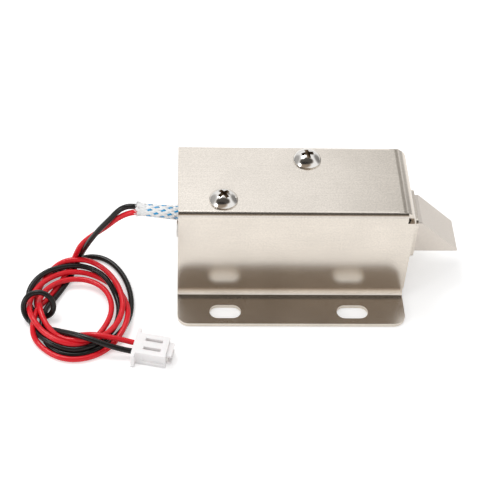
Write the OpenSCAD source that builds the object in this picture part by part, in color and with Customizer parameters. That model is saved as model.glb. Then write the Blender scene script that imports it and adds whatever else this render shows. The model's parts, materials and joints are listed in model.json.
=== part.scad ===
// Solenoid lock: a folded sheet housing over a solenoid that pulls a square, bevelled latch bolt.
// Millimetres. +X is the way the bolt points, +Z is up, and the origin is the middle of the four
// mounting slots, on the mounting surface.

/* [Housing] */
// Length of the folded housing along the bolt
body_l = 53.6; // [50:0.1:60]
// Depth of the housing between its outer walls
body_d = 23; // [22.6:0.1:28]
// Height of the housing above the mounting surface
body_h = 27.6; // [27:0.1:34]
// Width of each mounting flange, out from its wall
flange_w = 9.4; // [8:0.1:14]
// Thickness of the housing sheet
sheet_t = 1; // [0.8:0.1:1.2]
// Outer radius of the folds along the top
top_fold_r = 1.4; // [1.3:0.1:2]
// Inner radius of the folds at the flanges
foot_fold_r = 1.5; // [0.5:0.1:2.5]
// Outer radius of the fold at the bolt end
end_fold_r = 3.2; // [2.6:0.1:4]
// How far the folded end stands past the side walls
end_proud = 0.4; // [0.2:0.1:1]
// Corner radius of the flanges
flange_r = 2.8; // [1:0.1:4]

/* [Mounting slots] */
// Distance between the two slots of a flange
slot_pitch = 30; // [26:0.1:34]
// Length of a slot, end to end
slot_l = 7.4; // [5:0.1:10]
// Width of a slot
slot_w = 4; // [3:0.1:5]
// Distance from the wall to the slot's middle
slot_out = 5.7; // [5:0.1:7]
// How far the slots sit off the middle of the housing
slot_shift = -0.6; // [-2:0.1:2]

/* [Cover screws] */
// Screw thread diameter
screw_d = 3; // [2:0.1:3.4]
// Screw head diameter
screw_head_d = 6.5; // [4.5:0.1:7]
// Screw head height
screw_head_h = 2.1; // [1.2:0.1:2.6]
// Screw length under the head
screw_l = 4.4; // [3.4:0.1:4.6]
// Distance from a side wall to the cover screw near it
screw_in = 4.8; // [4.5:0.1:5.5]
// Distance from the wire end to the front screw
screw_front_in = 10.2; // [8:0.1:14]
// Distance from the wire end to the rear screw
screw_rear_in = 30; // [20:0.1:30.4]

/* [Yoke] */
// Thickness of the yoke steel
yoke_t = 1.5; // [1.2:0.1:1.8]
// Space between the yoke and each housing wall
yoke_gap = 0.3; // [0.2:0.1:1]
// How far the yoke sits inside the wire end
yoke_in = 0.3; // [0.2:0.1:1]
// Height of the yoke's lower edges above the mounting surface
yoke_lift = 2; // [1:0.1:3]
// Length of the coil space between the yoke's rear leg and the pole plate
coil_space = 30.5; // [28:0.1:31]
// How far the bolt's axis lies below half the housing's height
axis_drop = 0.2; // [0:0.1:0.6]

/* [Coil] */
// Space between the bobbin flanges and the yoke's roof
coil_clear = 1.5; // [1.4:0.1:2]
// Thickness of a bobbin flange
bobbin_flange_t = 1; // [0.8:0.1:1.4]
// Wall of the bobbin's tube
bobbin_wall = 0.65; // [0.5:0.05:1]
// How far the bobbin flanges stand out from the winding
winding_in = 0.8; // [0.6:0.1:2]
// Thickness of the tape round the winding
tape_t = 0.4; // [0.2:0.1:0.4]

/* [Core and plunger] */
// Diameter of the core and of the plunger
plunger_d = 8; // [7:0.1:8.2]
// Radial running gap of the plunger in its guide tube
plunger_gap = 0.08; // [0.03:0.01:0.1]
// Wall of the brass guide tube
tube_wall = 0.4; // [0.3:0.05:0.5]
// Length of the fixed core inside the coil
core_l = 13; // [10:0.1:15]
// Depth of the conical seat in the core
cone_l = 3; // [2:0.1:3.6]
// Thickness of the brass disc between the plunger and the core
disc_t = 0.3; // [0.2:0.05:0.5]
// Diameter of the core's riveted head
rivet_d = 7.5; // [7.2:0.1:9]
// Height of the core's riveted head
rivet_h = 0.6; // [0.3:0.05:0.8]
// Travel of the bolt
stroke = 10; // [6:0.1:10]
// Space left between the plunger and the disc with the bolt drawn in
end_gap = 0.3; // [0.2:0.05:0.5]

/* [Bolt] */
// Side of the square bolt
bolt_w = 9.6; // [8.8:0.1:10]
// How far the bolt's tip stands past the housing's end
bolt_out = 12.6; // [11.8:0.1:13.5]
// Length of the flat neck outside the housing's end
bolt_neck = 3; // [2.6:0.1:3.4]
// Height of the blunt tip
bolt_tip = 0.6; // [0.3:0.1:1.5]
// Rounding of the bolt's long edges
bolt_edge = 0.35; // [0.2:0.05:0.6]
// Space between the bolt and its guide, each side
bolt_gap = 0.15; // [0.1:0.05:0.25]
// Wall of the guide's collar
collar_wall = 1.05; // [0.8:0.05:1.4]
// How far the collar stands past the housing's end
collar_out = 2; // [1:0.1:2.4]
// Corner radius of the collar
collar_r = 1.5; // [0.8:0.1:2]
// Width of the guide's inner flange
guide_flange_w = 15; // [14.4:0.1:17]
// Thickness of the guide's inner flange
guide_flange_t = 1.9; // [1.2:0.1:2.2]
// Diameter of the plunger's stem in the bolt
stem_d = 5; // [4:0.1:5.4]
// Length of the stem
stem_l = 7.4; // [6.4:0.1:7.6]
// Diameter of the cross pin
pin_d = 2; // [1.5:0.1:2.2]
// Diameter of the washer that stops the bolt at the guide
washer_d = 13; // [12.4:0.1:14]
// Thickness of that washer
washer_t = 0.5; // [0.4:0.1:0.8]

/* [Return spring] */
// Wire diameter of the return spring
spring_wire = 0.7; // [0.5:0.05:0.8]
// Mean diameter of the return spring
spring_d = 9.8; // [9.4:0.1:10.4]
// Turns of the return spring
spring_turns = 6.5; // [5:0.5:7]

/* [Leads] */
// Diameter of a lead over its insulation
lead_d = 1.3; // [1:0.05:1.4]
// Outside diameter of the braided sleeve
sleeve_d = 3.2; // [3:0.05:3.4]
// Length of the sleeve
sleeve_l = 15.6; // [12:0.1:18]
// Outside width of the coiled leads
hank_w = 24.4; // [20:0.1:30]
// Outside length of the coiled leads
hank_l = 32.2; // [28:0.1:40]
// Width of the band of turns
hank_band = 6; // [4:0.1:8]
// Height of the band of turns
hank_h = 4.2; // [2.6:0.1:6]

/* [Connector] */
// Length of the connector housing along its leads
plug_l = 9; // [8:0.1:11]
// Width of the connector housing
plug_w = 6; // [5.8:0.1:8]
// Height of the connector housing
plug_h = 4; // [3.6:0.1:6]
// Distance between its two contacts
plug_pitch = 2.5; // [2.2:0.1:2.8]

/* [Hidden] */
$fn = 64;
eps = 0.01;
fit = 0.05;

wire_x = -body_l / 2 - slot_shift;
wall_end_x = wire_x + body_l;
end_x = wall_end_x + end_proud;
wall_y = body_d / 2;
flange_y = wall_y + flange_w;
roof_z = body_h - sheet_t;
screw_side = wall_y - screw_in;
foot_outer_r = foot_fold_r + sheet_t;
flap_side = wall_y - sheet_t + 0.1;
relief_l = 2;
relief_z = body_h - 2.6;

yoke_w = body_d - 2 * (sheet_t + yoke_gap);
yoke_x0 = wire_x + yoke_in;
yoke_x1 = end_x - sheet_t;
yoke_r = max(end_fold_r - sheet_t + 0.4, yoke_t + 0.8);
yoke_roof = roof_z - yoke_t;
axis_z = body_h / 2 - axis_drop;
coil_x0 = yoke_x0 + yoke_t;
pole_x0 = coil_x0 + coil_space;
pole_x1 = pole_x0 + yoke_t;
pole_bore = plunger_d + 0.6;
tab_w = 5;
tab_y = 5.8;

bobbin_d = min(2 * (yoke_roof - axis_z - coil_clear), body_d - 2 * sheet_t - 1);
winding_d = bobbin_d - 2 * winding_in;
tube_bore = plunger_d + 2 * plunger_gap;
tube_d = tube_bore + 2 * tube_wall;
bobbin_bore = tube_d + 0.1;
barrel_d = bobbin_bore + 2 * bobbin_wall;

core_face = coil_x0 + core_l;
seat_x = core_face - cone_l;
seat_r0 = plunger_d / 2 - 1.5;
seat_r1 = plunger_d / 2 - 0.05;
nose_x = seat_x + disc_t + end_gap + stroke;
nose_r = seat_r0 - 0.3;

bolt_tip_x = end_x + bolt_out;
bevel_x = end_x + bolt_neck;
bolt_z0 = axis_z - bolt_w / 2;
bolt_z1 = axis_z + bolt_w / 2;
guide_x0 = yoke_x1 - yoke_t - guide_flange_t;
bolt_x0 = guide_x0 - 0.3;
shoulder_x = bolt_x0 - washer_t;
collar_w = bolt_w + 2 * (bolt_gap + collar_wall);
pin_x = bolt_x0 + stem_l / 2 - 0.1;

spring_x0 = pole_x1 + fit;
spring_x1 = shoulder_x - fit;

// The sleeve's axis runs through the notch in the yoke's rear leg and rises a little towards its mouth
sleeve_y = -6.8;
sleeve_z = yoke_roof - sleeve_d / 2 - 0.2;
sleeve_turn = -5;
sleeve_tilt = 2;
sleeve_in = 5.9;
sleeve_bore = 2 * lead_d + 0.1;
sleeve_end = sleeve_l - sleeve_in;
solder_in = sleeve_in + 1;
// Turn of the two leads about the sleeve's axis, the black one up and to the rear
lead_roll = 35;
lead_side = lead_d / 2 + eps;

hank_out = 22.7;
hank_x = wire_x - hank_out;
hank_y = -17.7;
plug_out = 5.4;
plug_x = wire_x - plug_out;
plug_y = -29.7;
plug_turn = -12;
contact_in = 1.2;
lug_w = 5.4;

// The leads outside the sleeve, laid by hand: distance from the wire end, Y, and height as a share of
// the way from the coiled leads up to the sleeve
red_drop = [
    [-11.8, -6.3, 0.95], [-13.6, -5.7, 0.835], [-14.8, -5, 0.72], [-16.1, -4.3, 0.605], [-19.3, -3, 0.38],
    [-22, -3.3, 0.26], [-23.8, -4.1, 0.15], [-24.4, -3.9, 0.035]];
black_drop = [
    [-11.8, -5.2, 1.02], [-13.9, -5.4, 0.925], [-15.5, -5.5, 0.82], [-17.1, -5.5, 0.7], [-19.9, -4.8, 0.37],
    [-21.2, -3.9, 0.19], [-22.5, -2.8, 0.08], [-23.4, -2.6, 0.035]];
red_route = concat([in_sleeve(-solder_in, -1), in_sleeve(sleeve_end, -1)],
    [for (p = red_drop) dropped(p)]);
black_route = concat([in_sleeve(-solder_in, 1), in_sleeve(sleeve_end, 1)],
    [for (p = black_drop) dropped(p)]);
// The leads between the coil and the plug, counted from the plug's middle along its own axes
red_tail_steps = [[-11.5, 0.1, 4.85], [-9.6, 0.6, 4.2], [-7.6, 1.1, 2.8], [-5.8, 1.25, 2], [-3.4, 1.25, 2]];
black_tail_steps = [
    [-14.6, -1.3, 4.85], [-11.4, -1.7, 4.85], [-9.2, -1.6, 3.4], [-7.4, -1.3, 2.2], [-5.8, -1.25, 2],
    [-3.4, -1.25, 2]];

plated = [0.86, 0.84, 0.79];
steel = [0.72, 0.7, 0.68];
bright = [0.9, 0.9, 0.9];
brass_tone = [0.8, 0.65, 0.32];

// A vector given across and along the sleeve's axis, as in sleeve_axis()
function turned(v) =
    let (x = cos(90 - sleeve_tilt) * v[0] - sin(90 - sleeve_tilt) * v[2],
        z = sin(90 - sleeve_tilt) * v[0] + cos(90 - sleeve_tilt) * v[2])
    [cos(sleeve_turn) * x - sin(sleeve_turn) * v[1], sin(sleeve_turn) * x + cos(sleeve_turn) * v[1], z];
function in_sleeve(s, side) = [wire_x, sleeve_y, sleeve_z]
    + turned([side * lead_side * sin(lead_roll), side * lead_side * cos(lead_roll), s]);
function dropped(p) = [wire_x + p[0], p[1], hank_h + p[2] * (sleeve_z - hank_h)];
function unit(v) = v / norm(v);
function tangent(p, i) =
    i == 0 ? unit(p[1] - p[0]) :
    i == len(p) - 1 ? unit(p[i] - p[i - 1]) :
    unit(unit(p[i + 1] - p[i]) + unit(p[i] - p[i - 1]));
// Side vectors carried along the path, each turned as little as possible from the one before
function carried(p, i) =
    i == 0 ? side_start(tangent(p, 0)) :
    let (t = tangent(p, i), s = carried(p, i - 1)) unit(s - t * (s * t));
function side_start(t) = unit(cross(abs(t[2]) < 0.9 ? [0, 0, 1] : [1, 0, 0], t));

// One closed tube swept along a list of points
module swept_tube(p, d, sides = 8) {
    n = len(p);
    rings = [for (i = [0:n - 1])
        let (t = tangent(p, i), s = carried(p, i), u = cross(t, s))
        for (k = [0:sides - 1]) p[i] + (s * cos(360 * k / sides) + u * sin(360 * k / sides)) * d / 2];
    walls = [for (i = [0:n - 2], k = [0:sides - 1])
        let (a = i * sides + k, b = i * sides + (k + 1) % sides)
        [a, a + sides, b + sides, b]];
    ends = [[for (k = [0:sides - 1]) k], [for (k = [sides - 1:-1:0]) (n - 1) * sides + k]];
    polyhedron(rings, concat(walls, ends));
}

module along_x(x) {
    translate([x, 0, axis_z]) rotate([0, 90, 0]) children();
}

module rod(x0, x1, d) {
    along_x(x0) cylinder(d = d, h = x1 - x0);
}

// A square with round corners, made of circles and bars so that its corners stay true arcs
module soft_square(w, h, r) {
    translate([-w / 2 + r, -h / 2]) square([w - 2 * r, h]);
    translate([-w / 2, -h / 2 + r]) square([w, h - 2 * r]);
    for (x = [-1, 1], y = [-1, 1]) translate([x * (w / 2 - r), y * (h / 2 - r)]) circle(r);
}

// Extrudes an outline drawn in Y and Z along X
module extrude_x(x0, x1) {
    translate([x0, 0, 0]) rotate([90, 0, 90]) linear_extrude(x1 - x0) children();
}

// Extrudes an outline drawn in X and Z along Y, the same way to both sides
module extrude_y(half) {
    translate([0, half, 0]) rotate([90, 0, 0]) linear_extrude(2 * half) children();
}

module slot_2d() {
    d = slot_w;
    translate([-(slot_l - d) / 2, -d / 2]) square([slot_l - d, d]);
    for (s = [-1, 1]) translate([s * (slot_l - d) / 2, 0]) circle(d = d);
}

// Half of the hat section: flange, wall and half of the roof
module hat_half() {
    difference() {
        union() {
            translate([wall_y - sheet_t, foot_outer_r])
                square([sheet_t, body_h - foot_outer_r - top_fold_r]);
            translate([wall_y - sheet_t + foot_outer_r, 0])
                square([flange_w + sheet_t - foot_outer_r, sheet_t]);
            translate([0, roof_z]) square([wall_y - top_fold_r, sheet_t]);
            // The two folds
            intersection() {
                translate([wall_y - top_fold_r, body_h - top_fold_r]) circle(top_fold_r);
                translate([wall_y - top_fold_r, body_h - top_fold_r]) square(top_fold_r);
            }
            intersection() {
                translate([wall_y - sheet_t + foot_outer_r, foot_outer_r]) circle(foot_outer_r);
                translate([wall_y - sheet_t, 0]) square(foot_outer_r);
            }
        }
        translate([wall_y - top_fold_r, body_h - top_fold_r]) circle(top_fold_r - sheet_t);
        translate([wall_y - sheet_t + foot_outer_r, foot_outer_r]) circle(foot_fold_r);
    }
}

module hat_section() {
    hat_half();
    mirror([1, 0]) hat_half();
}

// The strip that folds down from the roof to close the bolt end
module end_strip_2d() {
    cx = end_x - end_fold_r;
    cz = body_h - end_fold_r;
    translate([cx - 1, roof_z]) square([1, sheet_t]);
    translate([end_x - sheet_t, yoke_lift]) square([sheet_t, cz - yoke_lift]);
    difference() {
        intersection() {
            translate([cx, cz]) circle(end_fold_r);
            translate([cx, cz]) square(end_fold_r);
        }
        translate([cx, cz]) circle(end_fold_r - sheet_t);
    }
}

module housing() {
    color(plated) difference() {
        union() {
            difference() {
                extrude_x(wire_x, wall_end_x) hat_section();
                // The roof stops where the end strip starts to fold
                translate([end_x - end_fold_r, -flap_side, roof_z - 1])
                    cube([end_fold_r + 1, 2 * flap_side, sheet_t + 2]);
                // Corner reliefs
                for (s = [-1, 1]) translate([end_x - relief_l, s * wall_y - 2, relief_z])
                    cube([relief_l + 1, 4, 4]);
            }
            extrude_y(flap_side) end_strip_2d();
        }
        for (s = [-1, 1], x = [-slot_pitch / 2, slot_pitch / 2])
            translate([x, s * (wall_y + slot_out), -1]) linear_extrude(sheet_t + 2) slot_2d();
        // Round corners of the flanges
        for (s = [-1, 1]) {
            flip = s > 0 ? 1 : 0;
            translate([wire_x, s * flange_y, 0]) mirror([0, flip, 0]) corner_cut();
            translate([wall_end_x, s * flange_y, 0]) mirror([0, flip, 0]) mirror([1, 0, 0]) corner_cut();
        }
        place_screws() translate([0, 0, roof_z - 1]) cylinder(d = screw_d + 0.3, h = sheet_t + 2);
        translate([end_x - sheet_t - 1, 0, axis_z]) rotate([90, 0, 90])
            linear_extrude(sheet_t + 2) soft_square(collar_w + 0.1, collar_w + 0.1, collar_r);
    }
}

module corner_cut() {
    difference() {
        translate([-1, -1, -1]) cube([flange_r + 1, flange_r + 1, sheet_t + 2]);
        translate([flange_r, flange_r, -2]) cylinder(r = flange_r, h = sheet_t + 4);
    }
}

module place_screws() {
    translate([wire_x + screw_front_in, -screw_side, 0]) children();
    translate([wire_x + screw_rear_in, screw_side, 0]) children();
}

// The bent strip of the yoke, seen from the front
module yoke_2d() {
    difference() {
        yoke_block(0, yoke_r);
        yoke_block(yoke_t, yoke_r - yoke_t);
    }
}

module yoke_block(inset, r) {
    x0 = yoke_x0 + inset;
    x1 = yoke_x1 - inset;
    z1 = roof_z - inset;
    translate([x0, yoke_lift - inset]) square([x1 - x0, z1 - r - yoke_lift + inset]);
    translate([x0 + r, yoke_lift]) square([x1 - x0 - 2 * r, z1 - yoke_lift]);
    for (x = [x0 + r, x1 - r]) translate([x, z1 - r]) circle(r);
}

module yoke_frame() {
    color(steel) difference() {
        extrude_y(yoke_w / 2) yoke_2d();
        place_screws() translate([0, 0, yoke_roof - 1]) cylinder(d = screw_d + 0.1, h = yoke_t + 2);
        // Slots that take the pole plate's tabs
        for (s = [-1, 1]) translate([pole_x0 - fit, s * tab_y - tab_w / 2 - fit, yoke_roof - 1])
            cube([yoke_t + 2 * fit, tab_w + 2 * fit, yoke_t + 2]);
        rod(yoke_x0 - 1, coil_x0 + 1, plunger_d - 1 + 0.1);
        translate([yoke_x1 - yoke_t - 1, 0, axis_z]) rotate([90, 0, 90])
            linear_extrude(yoke_t + 2) soft_square(collar_w + 0.1, collar_w + 0.1, collar_r);
        // Notch for the braided sleeve, open to the front edge
        translate([yoke_x0 - 1, 0, 0]) {
            translate([0, sleeve_y, sleeve_z]) rotate([0, 90, 0])
                cylinder(d = sleeve_d + 0.4, h = yoke_t + 2.4);
            translate([0, -yoke_w, sleeve_z - sleeve_d / 2 - 0.2])
                cube([yoke_t + 2.4, yoke_w + sleeve_y, sleeve_d + 0.4]);
        }
    }
}

module pole_plate() {
    color(steel) difference() {
        union() {
            translate([pole_x0, -yoke_w / 2, yoke_lift]) cube([yoke_t, yoke_w, yoke_roof - yoke_lift]);
            for (s = [-1, 1]) translate([pole_x0, s * tab_y - tab_w / 2, yoke_roof - eps])
                cube([yoke_t, tab_w, yoke_t + eps]);
        }
        rod(pole_x0 - 1, pole_x1 + 1, pole_bore);
    }
}

module bobbin() {
    color([0.93, 0.92, 0.88]) difference() {
        union() {
            rod(coil_x0, pole_x0, barrel_d);
            rod(coil_x0, coil_x0 + bobbin_flange_t, bobbin_d);
            rod(pole_x0 - bobbin_flange_t, pole_x0, bobbin_d);
            // Lug that holds the sleeve beside the winding
            intersection() {
                translate([coil_x0, sleeve_y, axis_z])
                    cube([bobbin_flange_t, lug_w, yoke_roof - yoke_r + yoke_t - axis_z]);
                rod(coil_x0, coil_x0 + bobbin_flange_t, bobbin_d + 2 * coil_clear);
            }
        }
        rod(coil_x0 - 1, pole_x0 + 1, bobbin_bore);
        sleeve_axis() translate([0, 0, -sleeve_in - 1]) cylinder(d = sleeve_d + 0.2, h = sleeve_l);
    }
}

module coil_winding() {
    color([0.76, 0.42, 0.2]) difference() {
        rod(coil_x0 + bobbin_flange_t, pole_x0 - bobbin_flange_t, winding_d);
        rod(coil_x0, pole_x0, barrel_d);
    }
}

module coil_tape() {
    color([0.9, 0.75, 0.15]) difference() {
        rod(coil_x0 + bobbin_flange_t, pole_x0 - bobbin_flange_t, winding_d + 2 * tape_t);
        rod(coil_x0, pole_x0, winding_d);
    }
}

module fixed_core() {
    color(steel) difference() {
        union() {
            rod(coil_x0, core_face, plunger_d);
            rod(yoke_x0 - rivet_h / 2, coil_x0 + 0.5, plunger_d - 1);
            rod(yoke_x0 - rivet_h, yoke_x0, rivet_d);
        }
        along_x(seat_x) cylinder(r1 = seat_r0, r2 = seat_r1, h = cone_l + eps);
    }
}

module core_disc() {
    color(brass_tone) rod(seat_x, seat_x + disc_t, 2 * seat_r0 - 0.2);
}

module guide_tube() {
    color(brass_tone) difference() {
        rod(coil_x0, pole_x0, tube_d);
        rod(coil_x0 - 1, pole_x0 + 1, tube_bore);
    }
}

module plunger() {
    color(bright) difference() {
        union() {
            along_x(nose_x) cylinder(r1 = nose_r, r2 = plunger_d / 2, h = cone_l);
            rod(nose_x + cone_l, shoulder_x, plunger_d);
            rod(shoulder_x - 1, shoulder_x + stem_l - 0.4, stem_d);
            along_x(shoulder_x + stem_l - 0.4) cylinder(d1 = stem_d, d2 = stem_d - 0.8, h = 0.4);
        }
        pin_hole(pin_d + 0.1);
    }
}

module pin_hole(d) {
    translate([pin_x, -bolt_w, axis_z]) rotate([-90, 0, 0]) cylinder(d = d, h = 2 * bolt_w);
}

// Closed turns at both ends, open turns between
function spring_rise(a) = a < 1 ? spring_wire * a :
    a > spring_turns - 1 ? spring_x1 - spring_x0 - spring_wire * (1 + spring_turns - a) :
    spring_wire + (a - 1) * (spring_x1 - spring_x0 - 3 * spring_wire) / (spring_turns - 2);

module return_spring() {
    per_turn = 12;
    route = [for (i = [0:spring_turns * per_turn])
        let (a = i / per_turn)
        [spring_x0 + spring_wire / 2 + spring_rise(a),
            spring_d / 2 * cos(360 * a),
            axis_z + spring_d / 2 * sin(360 * a)]];
    color([0.75, 0.76, 0.78]) swept_tube(route, spring_wire, 8);
}

module stop_washer() {
    color(bright) difference() {
        rod(shoulder_x, bolt_x0, washer_d);
        rod(shoulder_x - 1, bolt_x0 + 1, stem_d + 0.2);
    }
}

module latch_bolt() {
    color([0.79, 0.76, 0.73]) difference() {
        intersection() {
            extrude_y(bolt_w / 2) polygon([
                [bolt_x0, bolt_z0], [bolt_tip_x, bolt_z0], [bolt_tip_x, bolt_z0 + bolt_tip],
                [bevel_x, bolt_z1], [bolt_x0, bolt_z1]]);
            translate([bolt_x0, 0, axis_z]) rotate([90, 0, 90])
                linear_extrude(bolt_tip_x - bolt_x0) soft_square(bolt_w, bolt_w, bolt_edge);
        }
        rod(bolt_x0 - 1, shoulder_x + stem_l + 0.2, stem_d + 0.1);
        pin_hole(pin_d + 0.1);
    }
}

module bolt_pin() {
    pin_l = bolt_w - 0.4;
    color(steel) translate([pin_x, -pin_l / 2, axis_z]) rotate([-90, 0, 0]) cylinder(d = pin_d, h = pin_l);
}

module bolt_guide() {
    color(plated) difference() {
        translate([0, 0, axis_z]) {
            translate([guide_x0, 0, 0]) rotate([90, 0, 90])
                linear_extrude(guide_flange_t) soft_square(guide_flange_w, guide_flange_w, collar_r);
            translate([guide_x0, 0, 0]) rotate([90, 0, 90])
                linear_extrude(end_x + collar_out - guide_x0) soft_square(collar_w, collar_w, collar_r);
        }
        bore = bolt_w + 2 * bolt_gap;
        translate([guide_x0 - 1, 0, axis_z]) rotate([90, 0, 90])
            linear_extrude(end_x + collar_out - guide_x0 + 2) soft_square(bore, bore, bolt_edge);
    }
}

module cover_screw() {
    crown = screw_head_h * 0.55;
    recess_l = screw_head_d * 0.56;
    recess_w = 0.75;
    recess_h = 1.3;
    difference() {
        union() {
            translate([0, 0, body_h - screw_l]) cylinder(d = screw_d, h = screw_l + eps);
            translate([0, 0, body_h]) cylinder(d = screw_head_d, h = screw_head_h - crown);
            // Domed crown of the pan head
            translate([0, 0, body_h + screw_head_h - crown]) rotate_extrude() intersection() {
                scale_r = (pow(screw_head_d / 2, 2) + pow(crown, 2)) / (2 * crown);
                translate([0, crown - scale_r]) circle(scale_r, $fn = 128);
                square([screw_head_d, crown]);
            }
        }
        // Cross recess, narrowing downwards
        for (a = [0, 90]) rotate(a) translate([0, 0, body_h + screw_head_h]) hull() {
            cube([recess_l, recess_w, 0.1], center = true);
            translate([0, 0, -recess_h]) cube([recess_l / 2, recess_w * 2 / 3, 0.1], center = true);
        }
    }
}

module cover_screws() {
    color(bright) place_screws() cover_screw();
}

module sleeve_axis() {
    translate([wire_x, sleeve_y, sleeve_z]) rotate([0, 0, sleeve_turn]) rotate([0, -90 + sleeve_tilt, 0])
        children();
}

module lead_sleeve() {
    color([0.95, 0.95, 0.93]) sleeve_axis() translate([0, 0, -sleeve_in]) difference() {
        cylinder(d = sleeve_d, h = sleeve_l);
        translate([0, 0, -1]) cylinder(d = sleeve_bore, h = sleeve_l + 2);
    }
}

module solder_joints() {
    joint_l = 1;
    color([0.8, 0.8, 0.78]) for (s = [-lead_side, lead_side])
        sleeve_axis() translate([s * sin(lead_roll), s * cos(lead_roll), -solder_in - joint_l])
            cylinder(d = 1, h = joint_l);
}

module red_lead() {
    color([0.85, 0.1, 0.15]) swept_tube(red_route, lead_d);
}

module black_lead() {
    color([0.12, 0.11, 0.11]) swept_tube(black_route, lead_d);
}

module stadium(w, l) {
    translate([-w / 2, -(l - w) / 2]) square([w, l - w]);
    for (s = [-1, 1]) translate([0, s * (l - w) / 2]) circle(d = w);
}

module lead_coil() {
    color([0.75, 0.1, 0.14]) translate([hank_x, hank_y, 0]) linear_extrude(hank_h) difference() {
        stadium(hank_w, hank_l);
        stadium(hank_w - 2 * hank_band, hank_l - 2 * hank_band);
    }
}

module red_tail() {
    color([0.85, 0.1, 0.15]) at_plug() swept_tube(red_tail_steps, lead_d);
}

module black_tail() {
    color([0.12, 0.11, 0.11]) at_plug() swept_tube(black_tail_steps, lead_d);
}

module at_plug() {
    translate([plug_x, plug_y, 0]) rotate([0, 0, plug_turn]) children();
}

module connector_housing() {
    nose = 1.2;
    step_y = 1;
    step_z = 0.6;
    ear_l = 0.9;
    ear_out = 1.2;
    groove = 0.6;
    cell = 1.7;
    window_in = 2.4;
    window_l = 4;
    window_w = 0.8;
    color([0.94, 0.93, 0.92]) at_plug() difference() {
        union() {
            translate([-plug_l / 2, -plug_w / 2, 0]) cube([plug_l - nose, plug_w, plug_h]);
            // Stepped nose at the mating end
            translate([plug_l / 2 - nose - eps, -plug_w / 2 + step_y, step_z])
                cube([nose + eps, plug_w - 2 * step_y, plug_h - 2 * step_z]);
            // Ears at the wire end
            translate([-plug_l / 2, -plug_w / 2 - ear_out, 0]) cube([ear_l, plug_w + 2 * ear_out, plug_h]);
        }
        for (s = [-1, 1]) {
            translate([-plug_l / 2 - 1, s * plug_pitch / 2 - cell / 2, plug_h / 2 - cell / 2])
                cube([plug_l + 2, cell, cell]);
            // Window over the contact's locking tongue
            translate([-plug_l / 2 + window_in, s * plug_pitch / 2 - window_w / 2, plug_h / 2])
                cube([window_l, window_w, plug_h]);
        }
        // Shallow grooves in the front and rear faces
        for (s = [-1, 1]) translate([-plug_l / 2 + window_in, s * plug_w / 2 - groove / 2, plug_h * 0.3])
            cube([plug_l, groove, plug_h * 0.4]);
    }
}

module crimp_contacts() {
    box_w = 1.5;
    bore_w = 1;
    color(brass_tone) at_plug() for (s = [-1, 1])
        translate([-plug_l / 2 + contact_in, s * plug_pitch / 2, plug_h / 2]) difference() {
            translate([0, -box_w / 2, -box_w / 2]) cube([plug_l - contact_in - 0.8, box_w, box_w]);
            translate([-1, -bore_w / 2, -bore_w / 2]) cube([plug_l, bore_w, bore_w]);
        }
}

housing();
yoke_frame();
pole_plate();
bobbin();
coil_winding();
coil_tape();
fixed_core();
core_disc();
guide_tube();
plunger();
return_spring();
stop_washer();
latch_bolt();
bolt_pin();
bolt_guide();
cover_screws();
solder_joints();
lead_sleeve();
red_lead();
black_lead();
lead_coil();
red_tail();
black_tail();
connector_housing();
crimp_contacts();
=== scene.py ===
import json
from math import cos, pi, radians, sin

import bmesh
import bpy
import numpy as np
from mathutils import Matrix, Vector

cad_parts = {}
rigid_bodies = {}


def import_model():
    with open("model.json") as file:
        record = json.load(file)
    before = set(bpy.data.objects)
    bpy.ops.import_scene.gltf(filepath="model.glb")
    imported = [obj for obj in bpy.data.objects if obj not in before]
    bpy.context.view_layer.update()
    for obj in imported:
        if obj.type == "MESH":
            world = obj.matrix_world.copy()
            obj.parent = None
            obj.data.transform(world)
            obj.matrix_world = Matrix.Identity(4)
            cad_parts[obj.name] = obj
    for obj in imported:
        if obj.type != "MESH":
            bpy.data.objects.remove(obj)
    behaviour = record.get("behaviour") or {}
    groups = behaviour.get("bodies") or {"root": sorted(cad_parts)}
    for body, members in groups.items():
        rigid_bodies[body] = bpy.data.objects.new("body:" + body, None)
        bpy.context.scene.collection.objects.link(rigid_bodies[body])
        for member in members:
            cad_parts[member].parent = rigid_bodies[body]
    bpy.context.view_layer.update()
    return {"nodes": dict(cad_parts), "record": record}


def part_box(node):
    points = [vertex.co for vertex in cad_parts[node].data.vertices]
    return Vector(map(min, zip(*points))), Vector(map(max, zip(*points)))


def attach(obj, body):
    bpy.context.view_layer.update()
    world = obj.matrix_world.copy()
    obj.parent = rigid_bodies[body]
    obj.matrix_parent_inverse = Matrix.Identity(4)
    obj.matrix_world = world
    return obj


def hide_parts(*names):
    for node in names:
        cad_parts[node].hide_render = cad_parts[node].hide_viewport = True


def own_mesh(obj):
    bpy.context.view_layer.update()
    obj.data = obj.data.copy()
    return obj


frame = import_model()
nodes = frame["nodes"]
bodyOf = {n: b for b, names in frame["record"]["behaviour"]["bodies"].items() for n in names}
mm = 0.001
print("frame loaded:", len(nodes), "nodes")


# camera: fitted to the housing's edges in the photo
cameraSetup = {"place": (-27.858, -221.798, 241.753), "yaw": 4.2867, "down": 46.514, "roll": 3.4239,
               "lens": 100.88}


def makeCamera(c):
    yaw, down, roll = (radians(c[k]) for k in ("yaw", "down", "roll"))
    forward = Vector((sin(yaw) * cos(down), cos(yaw) * cos(down), -sin(down)))
    level = Vector((cos(yaw), -sin(yaw), 0))
    above = level.cross(forward)
    right = level * cos(roll) + above * sin(roll)
    up = above * cos(roll) - level * sin(roll)
    data = bpy.data.cameras.new("camera")
    data.lens = c["lens"]
    data.clip_start, data.clip_end = 0.01, 20
    cam = bpy.data.objects.new("camera", data)
    turn = Matrix((right, up, -forward)).transposed().to_4x4()
    cam.matrix_world = Matrix.Translation(Vector(c["place"]) * mm) @ turn
    bpy.context.scene.collection.objects.link(cam)
    bpy.context.scene.camera = cam


makeCamera(cameraSetup)


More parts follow.
